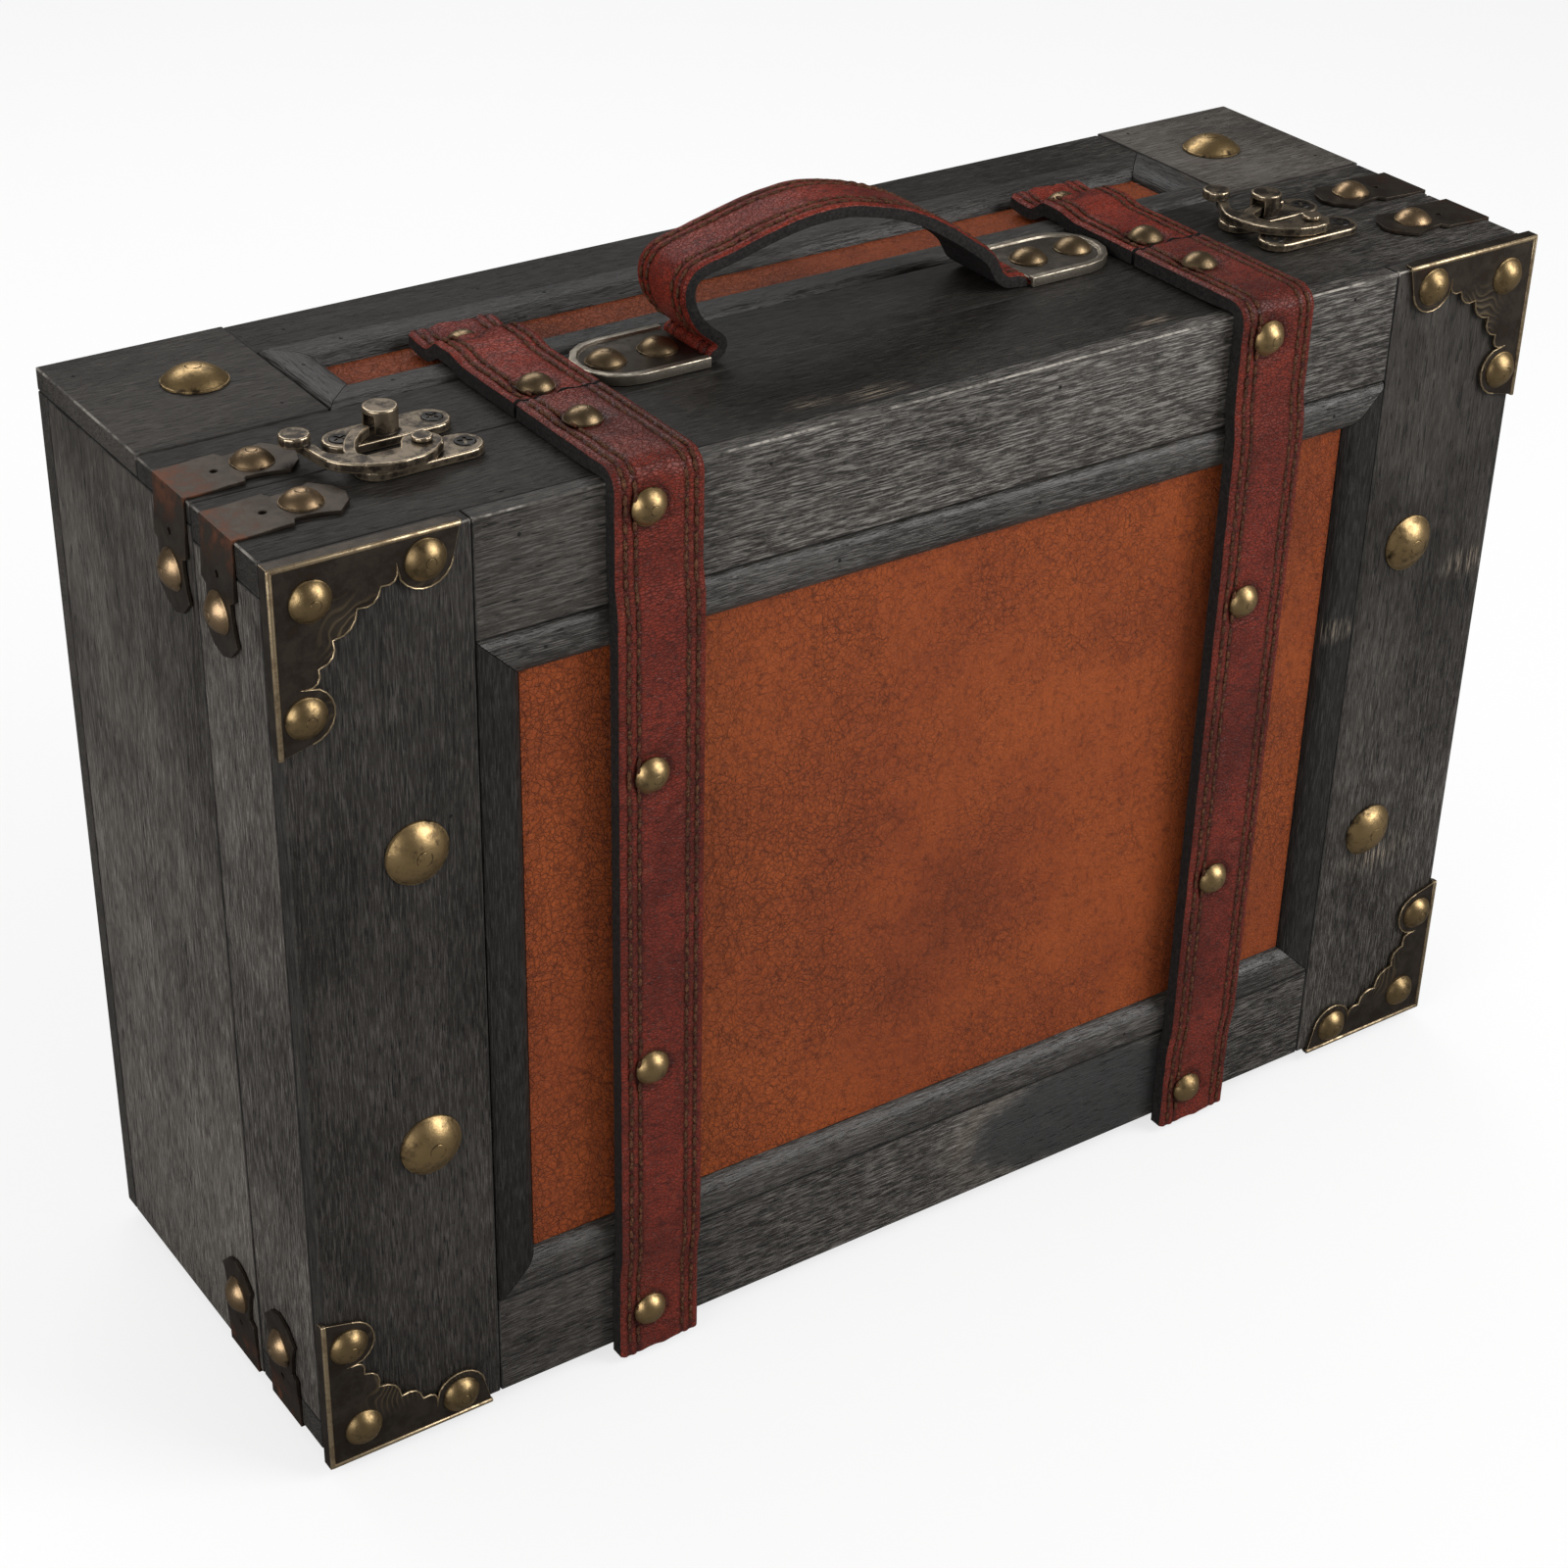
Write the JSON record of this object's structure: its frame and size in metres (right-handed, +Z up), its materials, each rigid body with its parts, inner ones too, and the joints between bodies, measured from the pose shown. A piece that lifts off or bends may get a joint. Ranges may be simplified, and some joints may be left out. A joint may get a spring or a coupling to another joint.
{
  "type": "wooden suitcase box",
  "caption": "Flat wooden travel box like a suitcase: framed leather front, leather straps with domed studs, metal corners, bracket-bound ends, carrying handle and swing-hook latches.",
  "frame": {"origin": "middle of the bounding box at its underside, level with the studs that it stands on", "axes": "+X along the length, +Y towards the back, -Y the decorated front, +Z up towards the handle"},
  "size_m": [0.358, 0.1256, 0.2709],
  "materials": {
    "stained_wood": "black-stained brushed wood, satin",
    "orange_leather": "orange-tan leather with dark mottling and cracks",
    "red_leather": "red-brown creased leather with black edges, semi-gloss",
    "dark_bronze": "dark bronze with copper wear at the folds",
    "antique_brass": "antique brass, polished tops and dark rims",
    "dark_steel": "dark plated sheet with bright worn rim",
    "worn_brass": "dark antique brass with bright worn edges"
  },
  "bodies": {
    "base": {"base_left_board": "stained_wood", "base_right_board": "stained_wood", "base_top_board": "stained_wood", "base_bottom_board": "stained_wood", "base_back_panel": "stained_wood", "top_front_strip": "stained_wood", "top_left_end": "stained_wood", "top_right_end": "stained_wood", "top_rear_strip": "stained_wood", "top_moulding": "stained_wood", "top_leather": "orange_leather", "base_bracket_top_left": "dark_bronze", "base_bracket_top_right": "dark_bronze", "base_bracket_bottom_left": "dark_bronze", "base_bracket_bottom_right": "dark_bronze", "top_stud_left": "antique_brass", "top_stud_right": "antique_brass", "rear_foot_left": "antique_brass", "rear_foot_right": "antique_brass", "left_strap_tab": "red_leather", "right_strap_tab": "red_leather", "handle": "red_leather", "left_handle_plate": "dark_steel", "right_handle_plate": "dark_steel", "left_catch_plate": "worn_brass", "right_catch_plate": "worn_brass", "left_hinge_base_leaf": "worn_brass", "right_hinge_base_leaf": "worn_brass"},
    "lid": {"lid_left_board": "stained_wood", "lid_right_board": "stained_wood", "lid_top_board": "stained_wood", "lid_bottom_board": "stained_wood", "lid_backing_panel": "stained_wood", "front_left_stile": "stained_wood", "front_right_stile": "stained_wood", "front_top_rail": "stained_wood", "front_bottom_rail": "stained_wood", "front_moulding": "stained_wood", "front_leather": "orange_leather", "corner_iron_top_left": "dark_bronze", "corner_iron_top_right": "dark_bronze", "corner_iron_bottom_left": "dark_bronze", "corner_iron_bottom_right": "dark_bronze", "lid_bracket_top_left": "dark_bronze", "lid_bracket_top_right": "dark_bronze", "lid_bracket_bottom_left": "dark_bronze", "lid_bracket_bottom_right": "dark_bronze", "front_stud_left_upper": "antique_brass", "front_stud_left_lower": "antique_brass", "front_stud_right_upper": "antique_brass", "front_stud_right_lower": "antique_brass", "left_strap": "red_leather", "right_strap": "red_leather", "left_hook_plate": "worn_brass", "right_hook_plate": "worn_brass", "left_hinge_lid_leaf": "worn_brass", "right_hinge_lid_leaf": "worn_brass"},
    "left_hook": {"left_hook": "worn_brass"},
    "right_hook": {"right_hook": "worn_brass"}
  },
  "joints": [
    {"name": "lid_hinge", "type": "hinge", "parent": "base", "child": "lid", "pos_m": [0, -0.01773, 0.00215], "axis": [1, 0, 0], "range_deg": [0, 140]},
    {"name": "left_hook_pivot", "type": "hinge", "parent": "lid", "child": "left_hook", "pos_m": [-0.1249, -0.02513, 0.24205], "axis": [0, 0, 1], "range_deg": [-32, 110]},
    {"name": "right_hook_pivot", "type": "hinge", "parent": "lid", "child": "right_hook", "pos_m": [0.1265, -0.02513, 0.24205], "axis": [0, 0, 1], "range_deg": [0, 145]}
  ]
}
